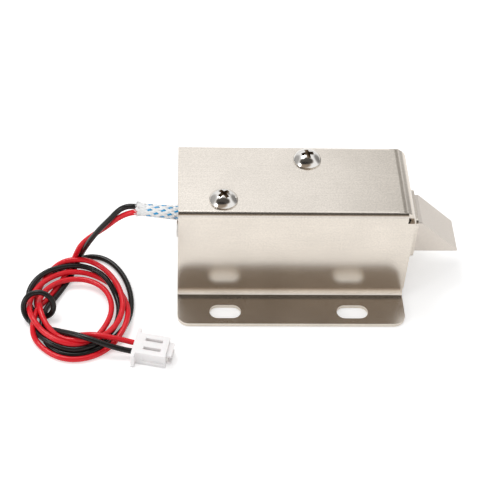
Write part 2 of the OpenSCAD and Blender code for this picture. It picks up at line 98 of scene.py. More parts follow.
# node sockets that take Python's own operators
class Sock:
    def __init__(self, tree, out):
        self.tree, self.out = tree, out

    def maths(self, kind, a, b=0.0, clamp=False):
        n = self.tree.nodes.new("ShaderNodeMath")
        n.operation, n.use_clamp = kind, clamp
        for i, v in enumerate((a, b)):
            if isinstance(v, Sock):
                self.tree.links.new(v.out, n.inputs[i])
            else:
                n.inputs[i].default_value = v
        return Sock(self.tree, n.outputs[0])

    def __add__(self, v): return self.maths("ADD", self, v)
    def __radd__(self, v): return self.maths("ADD", v, self)
    def __sub__(self, v): return self.maths("SUBTRACT", self, v)
    def __rsub__(self, v): return self.maths("SUBTRACT", v, self)
    def __mul__(self, v): return self.maths("MULTIPLY", self, v)
    def __rmul__(self, v): return self.maths("MULTIPLY", v, self)
    def __truediv__(self, v): return self.maths("DIVIDE", self, v)
    def __mod__(self, v): return self.maths("MODULO", self, v)
    def below(self, v): return self.maths("LESS_THAN", self, v)
    def above(self, v): return self.maths("GREATER_THAN", self, v)
    def held(self): return self.maths("ADD", self, 0.0, clamp=True)
    def whole(self): return self.maths("FLOOR", self)
    def sin(self): return self.maths("SINE", self)
    def cos(self): return self.maths("COSINE", self)
    def other(self, output): return Sock(self.tree, self.out.node.outputs[output])


# a node tree being drawn: shader or geometry
class Graph:
    def __init__(self, tree):
        self.tree = tree

    def give(self, target, value):
        if isinstance(value, (list, tuple)) and value and isinstance(value[0], Sock):
            for v in value:
                self.tree.links.new(v.out, target)
        elif isinstance(value, Sock):
            self.tree.links.new(value.out, target)
        elif isinstance(value, (list, tuple)) and len(value) == 3 and len(target.default_value) == 4:
            target.default_value = (*value, 1)
        else:
            target.default_value = value

    def node(self, kind, settings=None, inputs=None, output=0):
        n = self.tree.nodes.new(kind)
        for key, value in (settings or {}).items():
            setattr(n, key, value)
        for key, value in (inputs or {}).items():
            self.give(n.inputs[key], value)
        return Sock(self.tree, n.outputs[output])

    def vector(self, x, y, z):
        return self.node("ShaderNodeCombineXYZ", None, {"X": x, "Y": y, "Z": z})


class Finish(Graph):
    def __init__(self, name, metallic=0.0, roughness=0.4, color=(0.8, 0.8, 0.8), **uniform):
        self.mat = bpy.data.materials.new(name)
        self.mat.use_nodes = True
        self.mat.diffuse_color = (*color, 1)
        super().__init__(self.mat.node_tree)
        self.bsdf = next(n for n in self.tree.nodes if n.type == "BSDF_PRINCIPLED")
        self.put("Base Color", color)
        self.put("Metallic", metallic)
        self.put("Roughness", roughness)
        for key, value in uniform.items():
            self.put(key.replace("_", " "), value)

    def put(self, socket, value):
        self.give(self.bsdf.inputs[socket], value)

    def place(self):
        return self.node("ShaderNodeTexCoord", output="Object")

    def stretched(self, where, scale):
        return self.node("ShaderNodeMapping", None, {"Vector": where, "Scale": scale})

    def noise(self, where, scale, detail=3.0, rough=0.5):
        return self.node("ShaderNodeTexNoise", None,
                         {"Vector": where, "Scale": scale, "Detail": detail, "Roughness": rough})

    def mix(self, amount, a, b):
        return self.node("ShaderNodeMix", {"data_type": "RGBA"}, {0: amount, 6: a, 7: b}, 2)

    def cut(self, noise, start, steep):  # a mask that rises from 0 where the noise passes start
        return ((noise - start) * steep).held()

    def bump(self, height, strength, distance):
        self.put("Normal", self.node("ShaderNodeBump", None,
                                     {"Height": height, "Strength": strength, "Distance": distance}))


# a Geometry Nodes tree with named inputs, run once and kept as a plain mesh
class Grower(Graph):
    kinds = {float: "NodeSocketFloat", int: "NodeSocketInt"}

    def __init__(self, name, sizes):
        super().__init__(bpy.data.node_groups.new(name, "GeometryNodeTree"))
        face = self.tree.interface
        face.new_socket("Geometry", in_out="OUTPUT", socket_type="NodeSocketGeometry")
        self.sizes, self.ids = sizes, {}
        for label, value in sizes.items():
            made = face.new_socket(label, in_out="INPUT", socket_type=self.kinds[type(value)])
            made.default_value = value
            self.ids[label] = made.identifier
        self.name = name
        self.source = self.tree.nodes.new("NodeGroupInput")

    def size(self, label):
        return Sock(self.tree, self.source.outputs[label])

    def chance(self, low, high, ident, seed):
        return self.node("FunctionNodeRandomValue", {"data_type": "FLOAT"},
                         {2: low, 3: high, "ID": ident, "Seed": seed}, 1)

    def finish(self, shape, finish, second=None, where=None):
        solid = self.node("GeometryNodeRealizeInstances", None, {"Geometry": shape})
        dressed = self.node("GeometryNodeSetMaterial", None, {"Geometry": solid, "Material": finish})
        if second:
            dressed = self.node("GeometryNodeSetMaterial", None,
                                {"Geometry": dressed, "Selection": where, "Material": second})
        out = self.tree.nodes.new("NodeGroupOutput")
        self.tree.links.new(dressed.out, out.inputs[0])
        obj = bpy.data.objects.new(self.name, bpy.data.meshes.new(self.name))
        bpy.context.scene.collection.objects.link(obj)
        mod = obj.modifiers.new("shape", "NODES")
        mod.node_group = self.tree
        for label, value in self.sizes.items():
            mod[self.ids[label]] = value
        made = asMesh(obj)
        obj.modifiers.remove(mod)
        obj.data = made
        return obj


def asMesh(obj):
    bpy.context.view_layer.update()
    graph = bpy.context.evaluated_depsgraph_get()
    return bpy.data.meshes.new_from_object(obj.evaluated_get(graph), preserve_all_data_layers=True,
                                           depsgraph=graph)


def newPiece(name, bm, finish=None):
    mesh = bpy.data.meshes.new(name)
    bm.to_mesh(mesh)
    bm.free()
    obj = bpy.data.objects.new(name, mesh)
    bpy.context.scene.collection.objects.link(obj)
    if finish:
        mesh.materials.append(finishes[finish].mat)
    return obj


def standsFor(piece, *names):
    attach(piece, bodyOf[names[0]])
    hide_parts(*names)


# finishes: metal that is mottled, specked and, where asked, streaked along the sheet
def satinPlate(name, tone, rough, grain=(900, 900, 900), mottle=0.05, depth=0.00001, wear=0.03,
               speck=0.1, streak=0.0):
    f = Finish(name, metallic=1.0, roughness=rough, color=tone)
    where = f.place()
    cloud = f.noise(where, 90, 4)
    fine = f.noise(f.stretched(where, grain), 1.0, 2)
    speckle = f.noise(where, 2600, 2, 0.7)
    darker = tuple(c * (1 - 2.2 * mottle) for c in tone)
    worn = f.mix(f.cut(cloud, 0.32, 2.2), darker, tone)
    if streak:  # fine lines along the sheet, as it came off the roll
        line = f.noise(f.stretched(where, (130, 5200, 5200)), 1.0, 2)
        drawn = f.mix(streak, worn, tuple(c * 0.5 for c in tone))
        worn = f.mix(f.cut(line, 0.3, 2.5), drawn, worn)
    specked = f.mix(speck, worn, tuple(c * 0.55 for c in tone))
    f.put("Base Color", f.mix(f.cut(speckle, 0.36, 3.4), specked, worn))
    f.put("Roughness", (rough - 0.5 * wear) + cloud * wear + fine * wear)
    f.bump(fine, 0.25, depth)
    return f


finishes = {
    "plate": satinPlate("satinNickel", (0.955, 0.89, 0.81), 0.2, grain=(2400, 2400, 2400), mottle=0.045,
                        depth=0.000007, speck=0.26, streak=0.12),
    "yoke": satinPlate("zincYoke", (0.7, 0.69, 0.66), 0.34, grain=(400, 2500, 2500), mottle=0.09, wear=0.08),
    "core": satinPlate("turnedSteel", (0.74, 0.73, 0.71), 0.24, grain=(4000, 300, 300), mottle=0.04),
    "brass": satinPlate("drawnBrass", (0.8, 0.62, 0.3), 0.26, grain=(200, 3000, 3000), mottle=0.07),
    "bolt": satinPlate("boltSteel", (0.8, 0.745, 0.69), 0.27, grain=(1500, 1500, 1500), mottle=0.03),
    "chrome": satinPlate("brightScrew", (0.86, 0.84, 0.81), 0.11, grain=(900, 900, 900), mottle=0.02),
    "spring": satinPlate("springWire", (0.66, 0.66, 0.67), 0.22, grain=(900, 900, 900), mottle=0.06),
    "solder": satinPlate("tinSolder", (0.74, 0.74, 0.73), 0.3, grain=(1800, 1800, 1800), mottle=0.08),
    "contact": satinPlate("tinnedContact", (0.9, 0.885, 0.87), 0.42),
    # the cross recess gets a dark brown metal colour: painted shade for the shade inside the recess
    "recess": satinPlate("screwRecess", (0.3, 0.23, 0.16), 0.4, mottle=0.1),
}


def softFinish(name, tone, shade, rough, cloudSize=140, grainSize=3000, **uniform):
    f = Finish(name, roughness=rough, color=tone, **uniform)
    where = f.place()
    cloud = f.noise(where, cloudSize, 3)
    f.put("Base Color", f.mix(cloud, shade, tone))
    f.put("Roughness", (rough - 0.05) + cloud * 0.1)
    f.bump(f.noise(where, grainSize, 2), 0.15, 0.00002)
    return f


finishes["redLead"] = softFinish("redVinyl", (0.78, 0.012, 0.024), (0.66, 0.008, 0.017), 0.24, 260, 2400,
                                 Specular_IOR_Level=0.38)
finishes["blackLead"] = softFinish("blackVinyl", (0.014, 0.013, 0.012), (0.008, 0.008, 0.008), 0.26,
                                   260, 2400, Specular_IOR_Level=0.34)
finishes["nylon"] = softFinish("bobbinNylon", (0.86, 0.84, 0.78), (0.8, 0.78, 0.72), 0.45)
finishes["plug"] = softFinish("plugNylon", (0.985, 0.95, 0.95), (0.97, 0.925, 0.925), 0.38,
                              Subsurface_Weight=0.35, Subsurface_Radius=(0.0024, 0.002, 0.002),
                              Subsurface_Scale=1.0)
finishes["tape"] = softFinish("yellowTape", (0.82, 0.56, 0.06), (0.74, 0.5, 0.05), 0.24)
finishes["copper"] = softFinish("enamelledCopper", (0.58, 0.23, 0.08), (0.45, 0.16, 0.05), 0.22,
                                Coat_Weight=0.5)


# white glass threads, with blue where the thread's own attribute says tracer
def braidFinish():
    f = Finish("glassBraid", roughness=0.42, color=(0.84, 0.84, 0.83), Sheen_Weight=0.15)
    where = f.place()
    cloud = f.noise(where, 700, 3)
    white = f.mix(cloud, (0.86, 0.86, 0.86), (0.97, 0.97, 0.96))
    tracer = f.node("ShaderNodeAttribute", {"attribute_name": "tracer"}, None, 2)
    f.put("Base Color", f.mix(tracer, white, f.mix(cloud, (0.01, 0.29, 0.62), (0.03, 0.42, 0.78))))
    f.put("Roughness", 0.36 + cloud * 0.12)
    f.bump(f.noise(f.stretched(where, (9000, 9000, 9000)), 1.0, 2), 0.3, 0.00001)
    return f


finishes["braid"] = braidFinish()
print("finishes made:", len(finishes))


# leads
leadSize = {"diameter": 1.3, "sideStep": 0.66, "roll": (35, 2), "mouth": 9.1, "inSleeve": (-6.9, -2, 3, 6),
            "wireX": -26.2, "sleeveY": -6.8, "sleeveZ": 23.3, "sleeveTurn": -5, "sleeveTilt": 2,
            "hankTop": 4.2, "rearStretch": 0.045, "stretchFrom": -18, "plug": (-31.6, -29.7, -12),
            "drawStep": 0.5, "settleStep": 0.62, "cordStep": 0.8, "roundSteps": 5, "alongSteps": 2}
# how the leads, laid along the listed points, settle; hitch counts points back from the plug, which keep
# their place
settling = {"below": 7, "atPlug": 8, "hitch": (102, 42), "rounds": 200, "quickRounds": 30, "clear": 1.01,
            "apart": (0.7, 0.7, 1.3), "stiff": 0.35, "home": (0.03, 0.03, 0.006), "sink": 0.008,
            "pace": 0.5, "smoothings": 12, "sameStrand": 1.9}


def alongSleeve(v):
    a, b = radians(90 - leadSize["sleeveTilt"]), radians(leadSize["sleeveTurn"])
    x, z = cos(a) * v[0] - sin(a) * v[2], sin(a) * v[0] + cos(a) * v[2]
    root = (leadSize["wireX"], leadSize["sleeveY"], leadSize["sleeveZ"])
    return (root[0] + cos(b) * x - sin(b) * v[1], root[1] + sin(b) * x + cos(b) * v[1], root[2] + z)


def inSleeve(s, side):
    start, end = leadSize["roll"]
    roll = radians(start + (end - start) * min(max(s / leadSize["mouth"], 0), 1))
    step = side * leadSize["sideStep"]
    return alongSleeve((step * sin(roll), step * cos(roll), s))


def dropped(p):
    top = leadSize["hankTop"]
    return (leadSize["wireX"] + p[0], p[1], top + p[2] * (leadSize["sleeveZ"] - top))


def atPlug(p):
    x, y, turn = leadSize["plug"]
    a = radians(turn)
    return (x + cos(a) * p[0] - sin(a) * p[1], y + sin(a) * p[0] + cos(a) * p[1], p[2])


redDrop = [(-11.8, -6.3, 0.955), (-13.6, -5.7, 0.855), (-14.9, -5, 0.755), (-16.4, -4.3, 0.63),
           (-19.9, -3, 0.4), (-22.4, -2.9, 0.26), (-23.8, -3, 0.13)]
blackDrop = [(-11.8, -5.2, 1.04), (-13.9, -5.4, 0.95), (-15.5, -5.5, 0.82), (-17.3, -5.4, 0.7),
             (-20.6, -4.5, 0.38), (-21.9, -3.5, 0.2)]
redCoil = [(-50.8, -3.1, 3.2), (-51.8, -4.9, 1.6), (-53.8, -8.9, 0.9), (-55.4, -11.6, 0.7),
           (-57, -14.4, 1.3), (-58.4, -17.4, 2.3), (-59.6, -20.7, 2.4), (-59.4, -24.6, 1.1),
           (-56.7, -28.3, 0.7), (-53.1, -30.9, 0.7), (-49.6, -31.5, 0.7), (-45.6, -30.5, 0.7),
           (-42.3, -28.3, 0.8), (-39.6, -25, 1), (-37.9, -21.5, 1.1), (-37.4, -18, 1.5), (-38, -15, 1.9),
           (-39.3, -12.6, 2.2), (-41.4, -9.9, 2.4), (-44.4, -7.6, 2.4), (-47.9, -6.2, 2.4),
           (-51.5, -6.2, 2.4), (-55.3, -7.4, 2.4), (-58.2, -9.7, 2.6), (-60.2, -13.2, 2.8), (-60.9, -17, 3),
           (-59.7, -21.3, 2.8), (-57.1, -25.1, 2.5), (-53.4, -28, 2.2), (-49.7, -28.8, 2.1),
           (-46.4, -27.6, 2.3), (-43.9, -24.6, 2.5), (-42.2, -21.4, 2.5), (-41.3, -18.4, 2.5),
           (-41.5, -15.2, 2.5), (-42.8, -11.8, 2.5), (-45.3, -9.4, 2.5), (-49, -8.2, 2.5),
           (-53.2, -8.6, 2.5), (-56.6, -10.9, 2.6), (-58.4, -14.2, 2.8), (-58.3, -18.2, 3),
           (-57, -21.8, 2.8), (-54.8, -25, 2.5), (-51.8, -27.1, 2.4), (-48.4, -27.6, 2.4),
           (-45, -26.9, 2.8), (-42, -25.2, 3), (-39.8, -21.8, 3), (-38.7, -18.1, 3.1), (-39.1, -14, 3.6),
           (-40.6, -10.4, 3.9), (-43, -7.1, 4), (-46.2, -4.6, 4.3), (-49.5, -3.8, 4.9), (-52.5, -4, 4.8),
           (-55.2, -5.1, 3.9), (-57.5, -7.4, 2.2), (-59.2, -10.8, 1.3), (-59.6, -14.6, 1),
           (-58.6, -18.2, 1), (-56.9, -21.4, 1.2), (-54.8, -23.9, 1.6), (-52.2, -25.3, 2.1),
           (-49.2, -25.6, 2.8), (-45.7, -26.2, 3.6)]
blackCoil = [(-49.5, -2, 4), (-50.5, -3.3, 2.3), (-51.6, -5.8, 1), (-53, -8.9, 0.7), (-55, -12.9, 0.7),
             (-56.8, -16.6, 2.2), (-57.6, -20.4, 2.6), (-57.6, -24.2, 1.4), (-55.8, -27.6, 0.7),
             (-52.4, -29.6, 0.7), (-48.6, -30.1, 0.7), (-45, -29, 0.7), (-41.4, -26.4, 0.7),
             (-38.8, -23, 0.7), (-37.3, -19.1, 0.7), (-36.9, -14.4, 0.7), (-37.9, -9, 0.7),
             (-40, -4.6, 0.7), (-43, -1.2, 0.7), (-46.4, 0.1, 0.7), (-49.6, -0.6, 0.7), (-52.4, -2.8, 0.9),
             (-55.4, -5.4, 1.2), (-58.4, -8.2, 1.6), (-60.6, -11.8, 1.6), (-61.2, -15.6, 1.4),
             (-60.6, -19.4, 1.2), (-59, -23.2, 1.4), (-56.6, -26.4, 1.7), (-53.6, -28.4, 1.9),
             (-50, -29.4, 1.9), (-46.4, -28.6, 1.8), (-43.2, -26.2, 1.6), (-40.8, -22.6, 1.4),
             (-39.7, -18.6, 1.3), (-39.9, -14.6, 1.3), (-41, -11.2, 1.8), (-42.8, -8.6, 2.9),
             (-45.6, -6.2, 3.2), (-49, -4.9, 3.3), (-53, -5.2, 3.3), (-57.2, -6.9, 3.3), (-60, -10.2, 3),
             (-61.3, -12.9, 2.2), (-61, -15.3, 1.4), (-59.8, -17.4, 0.8), (-58.2, -18.8, 0.65),
             (-56.4, -19.2, 0.85), (-54.9, -18.9, 2.1), (-54.5, -17.8, 3.8), (-55.6, -16.5, 5.4),
             (-57.2, -15.9, 6.2), (-59.2, -15.8, 6.2), (-61, -16.3, 5.4), (-62, -17.3, 4),
             (-62, -18.6, 2.4), (-61, -20, 1.2), (-59.2, -21.2, 0.7), (-57.2, -22.3, 0.9),
             (-55.3, -23.3, 1.8), (-53.2, -24.5, 3.1), (-50.9, -25.7, 4.1)]
redTail = [(-9.6, 0.6, 4.2), (-7.6, 1.1, 2.8), (-5.8, 1.25, 2), (-3.4, 1.25, 2)]
blackTail = [(-14.6, -1.3, 4.6), (-11.4, -1.7, 4.6), (-9.2, -1.6, 3.4), (-7.4, -1.3, 2.2), (-5.8, -1.25, 2),
             (-3.4, -1.25, 2)]


def between(x, y, t0, t1, t):
    return ((t1 - t) * x + (t - t0) * y) / (t1 - t0)


# centripetal Catmull-Rom through the points
def smoothRoute(points, step):
    p = np.array(points, float)
    p = np.vstack([2 * p[0] - p[1], p, 2 * p[-1] - p[-2]])
    out = []
    for i in range(1, len(p) - 2):
        a, b, c, d = p[i - 1:i + 3]
        t = [0.0]
        for u, v in ((a, b), (b, c), (c, d)):
            t.append(t[-1] + max(np.linalg.norm(v - u), 1e-6) ** 0.5)
        parts = max(2, int(np.ceil(np.linalg.norm(c - b) / step)))
        for s in np.linspace(t[1], t[2], parts, endpoint=False):
            l, m, n = between(a, b, t[0], t[1], s), between(b, c, t[1], t[2], s), between(c, d, t[2], t[3], s)
            out.append(between(between(l, m, t[0], t[2], s), between(m, n, t[1], t[3], s), t[1], t[2], s))
    out.append(p[-2])
    return np.array(out)


def evenly(line, step):
    along = np.concatenate([[0], np.cumsum(np.linalg.norm(np.diff(line, axis=0), axis=1))])
    at = np.linspace(0, along[-1], int(np.ceil(along[-1] / step)) + 1)
    return np.stack([np.interp(at, along, line[:, k]) for k in range(3)], axis=1)


# touching strands push apart, and what is free sinks to the table
def settle(lines, diameter, loose, rounds, z):
    count = [len(l) for l in lines]
    p = np.vstack(lines)
    first = p.copy()
    owner = np.repeat(np.arange(len(lines)), count)
    order = np.concatenate([np.arange(c) for c in count])
    free = np.concatenate(loose)
    skip = int(np.ceil(z["sameStrand"] * diameter / np.linalg.norm(lines[0][1] - lines[0][0])))
    near = (owner[:, None] == owner[None, :]) & (np.abs(order[:, None] - order[None, :]) <= skip)
    inner = np.ones(len(p), bool)
    ends = np.cumsum([0] + count)
    inner[ends[:-1]] = inner[ends[1:] - 1] = False
    for turn in range(rounds):
        gap = p[:, None, :] - p[None, :, :]
        dist = np.sqrt((gap ** 2).sum(-1)) + 1e-9
        dist[near] = 99
        push = np.clip(diameter * z["clear"] - dist, 0, None)
        move = (gap / dist[..., None] * push[..., None] * np.array(z["apart"])).sum(1)
        move /= np.maximum((push > 0).sum(1), 1)[:, None]
        bend = np.zeros_like(p)
        bend[1:-1] = (p[:-2] + p[2:]) / 2 - p[1:-1]
        bend[~inner] = 0
        move += bend * z["stiff"] + (first - p) * np.array(z["home"])
        move[:, 2] -= z["sink"]
        p = p + np.where(free[:, None], move, 0) * z["pace"]
        p[:, 2] = np.maximum(p[:, 2], diameter / 2)
    laid = [p[a:b].copy() for a, b in zip(ends[:-1], ends[1:])]
    for line in laid:
        for turn in range(z["smoothings"]):
            line[1:-1] += ((line[:-2] + line[2:]) / 2 - line[1:-1]) * 0.5
    return laid


def tightest(line):
    a, b, c = line[:-4], line[2:-2], line[4:]
    u, v = b - a, c - b
    facing = (u * v).sum(1) / np.linalg.norm(u, axis=1) / np.linalg.norm(v, axis=1)
    turn = np.arccos(np.clip(facing, -1, 1))
    return (np.linalg.norm(u + v, axis=1) / 2 / np.maximum(turn, 1e-6)).min()


def leadRoute(side, drop, coil, tail):
    stretch, start = leadSize["rearStretch"], leadSize["stretchFrom"]
    turns = [(x, y + stretch * max(y - start, 0), z) for x, y, z in coil]
    points = [inSleeve(s, side) for s in (*leadSize["inSleeve"], leadSize["mouth"])]
    points += [dropped(p) for p in drop] + turns + [atPlug(p) for p in tail]
    return evenly(smoothRoute(points, leadSize["drawStep"]), leadSize["settleStep"])


def cordThrough(name, line, diameter):
    curve = bpy.data.curves.new(name, "CURVE")
    curve.dimensions = "3D"
    curve.bevel_depth = diameter / 2 * mm
    curve.bevel_resolution, curve.resolution_u = leadSize["roundSteps"], leadSize["alongSteps"]
    curve.use_fill_caps = True
    spline = curve.splines.new("NURBS")
    spline.points.add(len(line) - 1)
    spline.points.foreach_set("co", np.hstack([line * mm, np.ones((len(line), 1))]).ravel())
    spline.order_u = 4
    spline.use_endpoint_u = True
    obj = bpy.data.objects.new(name, curve)
    bpy.context.scene.collection.objects.link(obj)
    curve.materials.append(finishes[name].mat)
    return obj, np.linalg.norm(np.diff(line, axis=0), axis=1).sum()


def makeLeads(z):
    lines = [leadRoute(-1, redDrop, redCoil, redTail), leadRoute(1, blackDrop, blackCoil, blackTail)]
    loose = [(l[:, 2] < z["below"]) & (np.arange(len(l)) < len(l) - z["atPlug"]) for l in lines]
    first, last = z["hitch"]
    loose[1][-first:-last] = False
    laid = settle(lines, leadSize["diameter"], loose, z["rounds"], z)
    made = []
    for name, line in zip(("redLead", "blackLead"), laid):
        print(name, "settled, tightest bend", round(float(tightest(line)), 2), "mm")
        made.append(cordThrough(name, evenly(line, leadSize["cordStep"]), leadSize["diameter"]))
    return made


(redCord, redLength), (blackCord, blackLength) = makeLeads(settling)
print("leads laid:", round(redLength), round(blackLength), "mm")
mouth = tuple(v * mm for v in alongSleeve((0, 0, leadSize["mouth"])))


# glass braid sleeve: two sets of flat threads, each passing over and under the other
sleeveSize = {"from": -5.9, "length": 15.0, "radius": 1.5, "mouthWide": 1.5, "mouthThin": 0.94,
              "flatFrom": 4.5, "turned": 3, "ways": 12, "pitch": 18.6, "thread": 0.36, "tracerThread": 0.27,
              "flat": 0.3, "lift": 0.07, "ragged": 0.5, "plainEnd": 1.9, "flare": 0.2, "flareFrom": 1.1,
              "fibres": 46, "fibreLength": 1.7, "fibreRoot": 0.6, "fibreRadius": 0.035, "fibreSunk": 0.04,
              "backing": 0.05, "threadPoints": 110, "fibrePoints": 9, "seed": 7}


def growSleeve(z):
    g = Grower("braidSleeve", {
        "Length": z["length"] * mm, "Radius": z["radius"] * mm, "Mouth Wide": z["mouthWide"] * mm,
        "Mouth Thin": z["mouthThin"] * mm, "Round Until": z["flatFrom"] * mm, "Plain End": z["plainEnd"] * mm,
        "Threads Each Way": z["ways"], "Pitch": z["pitch"] * mm, "Thread": z["thread"] * mm,
        "Tracer Thread": z["tracerThread"] * mm, "Lift": z["lift"] * mm, "Ragged": z["ragged"] * mm,
        "Flare": z["flare"] * mm, "Loose Fibres": z["fibres"], "Fibre Length": z["fibreLength"] * mm,
        "Seed": z["seed"]})
    length, seed, ways = g.size("Length"), g.size("Seed"), g.size("Threads Each Way")
    line = g.node("GeometryNodeCurvePrimitiveLine", {"mode": "POINTS"},
                  {"Start": (0, 0, 0), "End": (0, 0, 0.01)})
    along = g.node("GeometryNodeSplineParameter")

    def copies(count, points):
        spread = g.node("GeometryNodeDuplicateElements", {"domain": "SPLINE"},
                        {"Geometry": line, "Amount": count})
        fine = g.node("GeometryNodeResampleCurve", {"mode": "COUNT"}, {"Curve": spread, "Count": points})
        return fine, spread.other(1)

    # threads
    threads, index = copies(ways * 2, z["threadPoints"])
    way = index % 2 * 2 - 1
    turn = (index / 2).whole() / ways * (2 * pi)
    end = length + g.chance(-0.4, 1.0, index, seed) * g.size("Ragged")
    s = along * end
    everyOther = ((index / 2).whole() % 2).below(0.5)
    tracer = way.above(0) * everyOther * s.below(length - g.size("Plain End"))
    crossing = s / g.size("Pitch") * ways * (2 * pi)

    # round at the housing, pressed to an oval over the two leads at the mouth
    def section(at, angle, more):
        slim = ((at - g.size("Round Until")) / (length - g.size("Round Until"))).held()
        slim = slim * slim * (3.0 - 2.0 * slim)
        wide = g.size("Radius") + (g.size("Mouth Wide") - g.size("Radius")) * slim + more
        thin = g.size("Radius") + (g.size("Mouth Thin") - g.size("Radius")) * slim + more
        a, b, c = angle.cos() * wide, angle.sin() * thin, radians(z["turned"])
        return g.vector(a * sin(c) + b * cos(c), a * cos(c) - b * sin(c), at)

    over = s - (length - z["flareFrom"] * mm)
    past = over.maths("MAXIMUM", over, 0.0) / mm
    splay = past * past * g.size("Flare") * g.chance(0.1, 1.0, index, seed + 3)
    radius = way * crossing.cos() * g.size("Lift") + splay
    stray = past * past * g.chance(-0.12, 0.12, index, seed + 5)
    angle = turn + way * s / g.size("Pitch") * (2 * pi) + stray
    placed = g.node("GeometryNodeSetPosition", None,
                    {"Geometry": threads, "Position": section(s, angle, radius)})
    marked = g.node("GeometryNodeStoreNamedAttribute", {"data_type": "FLOAT", "domain": "POINT"},
                    {"Geometry": placed, "Name": "tracer", "Value": tracer})
    upright = g.node("GeometryNodeSetCurveNormal", {"mode": "Z_UP"}, {"Curve": marked})
    width = g.size("Thread") + tracer * (g.size("Tracer Thread") - g.size("Thread"))
    ring = g.node("GeometryNodeCurvePrimitiveCircle", {"mode": "RADIUS"}, {"Resolution": 8, "Radius": 1.0})
    flat = g.node("GeometryNodeTransform", None, {"Geometry": ring, "Scale": (z["flat"], 1, 1)})
    woven = g.node("GeometryNodeCurveToMesh", None,
                   {"Curve": upright, "Profile Curve": flat, "Scale": width, "Fill Caps": True})

    # loose fibres at the mouth
    hairs, hair = copies(g.size("Loose Fibres"), z["fibrePoints"])
    t = along * 1.0
    reach = g.size("Fibre Length") * g.chance(0.35, 1.0, hair, seed + 11)
    start = g.chance(0, 2 * pi, hair, seed + 12)
    lean = g.chance(-0.05, 0.85, hair, seed + 13)
    curl = g.chance(-0.7, 0.7, hair, seed + 14)
    far = t * t * reach * lean - z["fibreSunk"] * mm
    swing = start + t * t * curl
    hairPlace = section(length - z["fibreRoot"] * mm + t * reach * (1.15 - 0.5 * lean), swing, far)
    hairLine = g.node("GeometryNodeSetPosition", None, {"Geometry": hairs, "Position": hairPlace})
    hairRing = g.node("GeometryNodeCurvePrimitiveCircle", {"mode": "RADIUS"},
                      {"Resolution": 5, "Radius": z["fibreRadius"] * mm})
    hairSolid = g.node("GeometryNodeCurveToMesh", None,
                       {"Curve": hairLine, "Profile Curve": hairRing, "Fill Caps": True})

    # close-woven backing, so no gap shows between the threads
    tube = g.node("GeometryNodeMeshCylinder", {"fill_type": "NONE"},
                  {"Vertices": 40, "Side Segments": 24, "Radius": 1.0, "Depth": length})
    spot = g.node("GeometryNodeInputPosition")
    px, py, pz = (g.node("ShaderNodeSeparateXYZ", None, {"Vector": spot}, k) for k in range(3))
    around = px.maths("ARCTAN2", py, px)
    under = section(pz + length * 0.5, around, -z["backing"] * mm)
    backing = g.node("GeometryNodeSetPosition", None, {"Geometry": tube, "Position": under})
    joined = g.node("GeometryNodeJoinGeometry", None, {"Geometry": [backing, woven, hairSolid]})
    smooth = g.node("GeometryNodeSetShadeSmooth", None, {"Geometry": joined})
    sleeve = g.finish(smooth, finishes["braid"].mat)
    root = Vector(alongSleeve((0, 0, 0)))
    axes = [(Vector(alongSleeve(v)) - root).normalized() for v in ((1, 0, 0), (0, 1, 0), (0, 0, 1))]
    place = Matrix.Translation(Vector(alongSleeve((0, 0, z["from"]))) * mm)
    sleeve.data.transform(place @ Matrix(axes).transposed().to_4x4())
    return sleeve


sleevePiece = growSleeve(sleeveSize)
standsFor(sleevePiece, "lead_sleeve")
print("sleeve braided:", len(sleevePiece.data.polygons), "faces")


# cover screws: a domed head with a cross recess whose faces carry painted shade, turned differently on each
screwSize = {"places": ((-16.0, -6.7, 38.0), (3.8, 6.7, 12.0)), "seat": 27.6, "headWidth": 6.5,
             "headHeight": 2.1, "rim": 0.35, "rimEdge": 0.08, "shank": 3.0, "length": 4.4, "tip": 0.35,
             "threadFrom": 0.45, "threadTo": 0.6, "threadPitch": 0.5, "threadDepth": 0.2,
             "crossLength": 3.2, "crossWidth": 0.9, "crossDepth": 1.25, "crossOver": 0.4, "domeRings": 18,
             "around": 64}


def latheForm(name, profile, around):
    bm = bmesh.new()
    rings = []
    for r, h in profile:
        if r == 0:
            rings.append([bm.verts.new((0, 0, h * mm))])
        else:
            angles = [2 * pi * i / around for i in range(around)]
            rings.append([bm.verts.new((r * mm * cos(a), r * mm * sin(a), h * mm)) for a in angles])
    for low, high in zip(rings, rings[1:]):
        for i in range(around):
            j = (i + 1) % around
            corner = [low[i % len(low)], low[j % len(low)], high[j % len(high)], high[i % len(high)]]
            bm.faces.new(list(dict.fromkeys(corner)))
    bmesh.ops.recalc_face_normals(bm, faces=bm.faces)
    return newPiece(name, bm)


def crossForm(z):
    bm = bmesh.new()
    top = z["headHeight"]
    rings = []
    for h, grow in ((top - z["crossDepth"], 0.5), (top, 1.0), (top + z["crossOver"], 1.15)):
        a, b = z["crossLength"] / 2 * grow, z["crossWidth"] / 2 * (0.6 + 0.4 * grow)
        plan = [(a, -b), (a, b), (b, b), (b, a), (-b, a), (-b, b),
                (-a, b), (-a, -b), (-b, -b), (-b, -a), (b, -a), (b, -b)]
        rings.append([bm.verts.new((x * mm, y * mm, h * mm)) for x, y in plan])
    bm.faces.new(rings[0][::-1])
    bm.faces.new(rings[-1])
    for r0, r1 in zip(rings, rings[1:]):
        for i in range(len(plan)):
            j = (i + 1) % len(plan)
            bm.faces.new((r0[i], r0[j], r1[j], r1[i]))
    bmesh.ops.recalc_face_normals(bm, faces=bm.faces)
    return newPiece("crossForm", bm)


